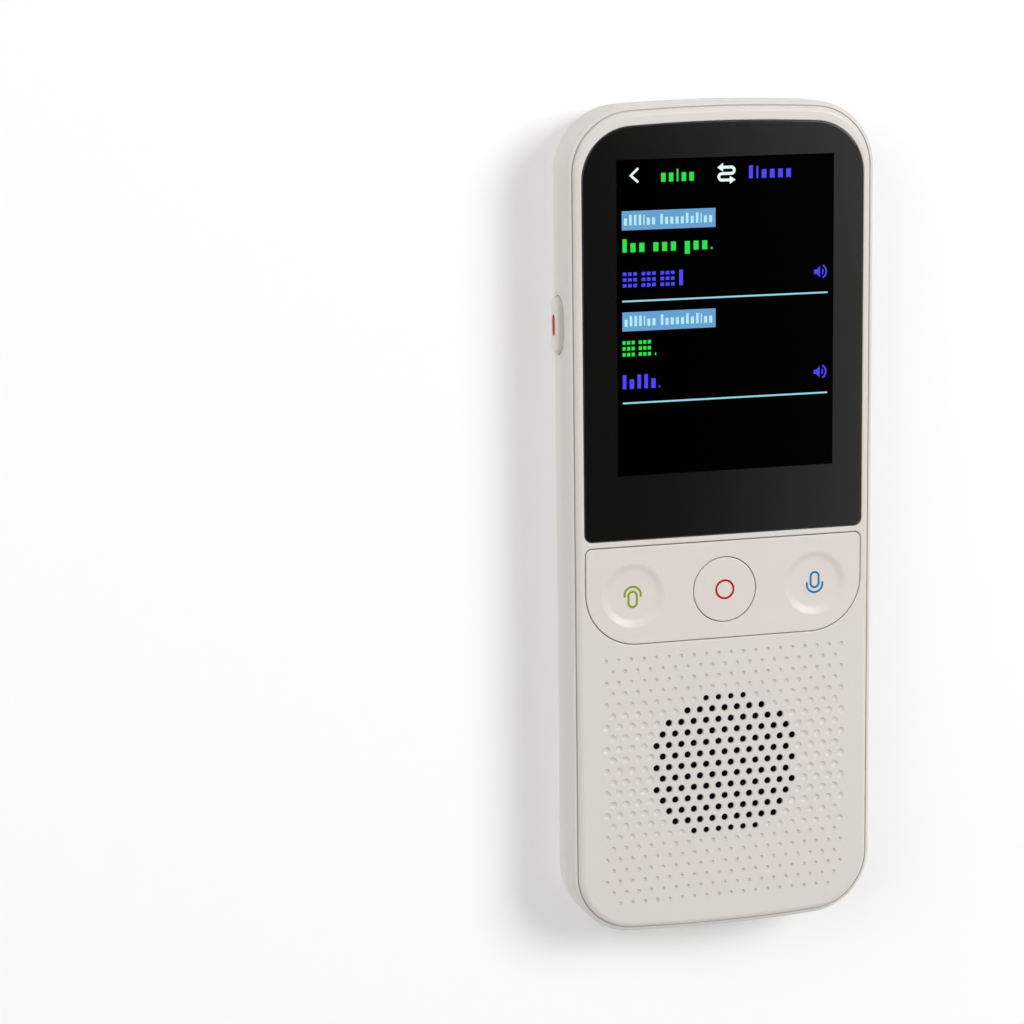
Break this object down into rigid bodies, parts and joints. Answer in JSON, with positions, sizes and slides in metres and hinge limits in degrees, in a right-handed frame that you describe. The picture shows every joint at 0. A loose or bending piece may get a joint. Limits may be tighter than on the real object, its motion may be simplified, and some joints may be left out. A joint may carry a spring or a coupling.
{
  "type": "handheld translator",
  "caption": "Slim handheld voice translator with a crowned glass screen, a rocking talk plate around a round centre key, side keys and a dimpled speaker grille.",
  "frame": {"origin": "middle of the flat back face, on the body's centre line and half way along the body", "axes": "+X to the device's right as its user sees the screen, +Y towards the top end, +Z out of the screen"},
  "size_m": [0.0515, 0.1322, 0.0124],
  "materials": {
    "shell_plastic": "fine matte",
    "cover_plastic": "fine matte",
    "key_plastic": "fine matte",
    "screen_glass": "gloss",
    "display": "gloss",
    "tray_steel": "satin",
    "black_tape": "matte",
    "flex_film": "satin",
    "connector_plastic": "matte",
    "dome_steel": "satin",
    "circuit_board": "solder mask",
    "chip_resin": "matte",
    "can_steel": "satin",
    "pouch": "satin",
    "white_tape": "matte",
    "foam": "matte",
    "basket_plastic": "matte",
    "cone_film": "satin",
    "copper_wire": "enamelled wire",
    "magnet_steel": "plated",
    "mesh_cloth": "woven",
    "port_steel": "satin",
    "boot_rubber": "matte",
    "mic_metal": "satin",
    "screw_steel": "black plated"
  },
  "bodies": {
    "housing": {"rear_shell": "shell_plastic", "front_cover": "cover_plastic", "cover_glass": "screen_glass", "glass_tape": "black_tape", "lcd_panel": "display", "lcd_tray": "tray_steel", "lcd_flex": "flex_film", "lcd_connector": "connector_plastic", "dome_left": "dome_steel", "dome_centre": "dome_steel", "dome_right": "dome_steel", "volume_up_dome": "dome_steel", "volume_down_dome": "dome_steel", "power_dome": "dome_steel", "volume_switch_board": "circuit_board", "power_switch_board": "circuit_board", "main_board": "circuit_board", "shield_can": "can_steel", "processor": "chip_resin", "memory_chip": "chip_resin", "lower_board": "circuit_board", "link_flex": "flex_film", "upper_connector": "connector_plastic", "lower_connector": "connector_plastic", "battery": "pouch", "battery_tape": "white_tape", "battery_board": "circuit_board", "speaker_gasket": "foam", "speaker_basket": "basket_plastic", "speaker_cone": "cone_film", "voice_coil": "copper_wire", "speaker_magnet": "magnet_steel", "grille_mesh": "mesh_cloth", "usb_shell": "port_steel", "usb_tongue": "connector_plastic", "bottom_microphone": "mic_metal", "bottom_mic_boot": "boot_rubber", "top_microphone": "mic_metal", "top_mic_boot": "boot_rubber", "antenna_film": "flex_film", "housing_screws": "screw_steel"},
    "talk_plate": {"talk_plate": "key_plastic"},
    "centre_key": {"centre_key": "key_plastic"},
    "volume_key": {"volume_key": "key_plastic"},
    "power_key": {"power_key": "key_plastic"}
  },
  "joints": [
    {"name": "talk_plate_rock", "type": "hinge", "parent": "housing", "child": "talk_plate", "pos_m": [0, -0.01065, 0.00862], "axis": [0, 1, 0], "range_deg": [-0.9, 0.9], "stiffness_Nm_per_rad": 1.5},
    {"name": "centre_key_press", "type": "slide", "parent": "housing", "child": "centre_key", "axis": [0, 0, -1], "range_m": [0, 0.00025], "stiffness_N_per_m": 6000},
    {"name": "volume_key_rock", "type": "hinge", "parent": "housing", "child": "volume_key", "pos_m": [0.02242, 0.0339, 0.006], "axis": [0, 0, 1], "range_deg": [-1.6, 1.6], "stiffness_Nm_per_rad": 0.5},
    {"name": "power_key_press", "type": "slide", "parent": "housing", "child": "power_key", "axis": [1, 0, 0], "range_m": [0, 0.00025], "stiffness_N_per_m": 6000}
  ]
}
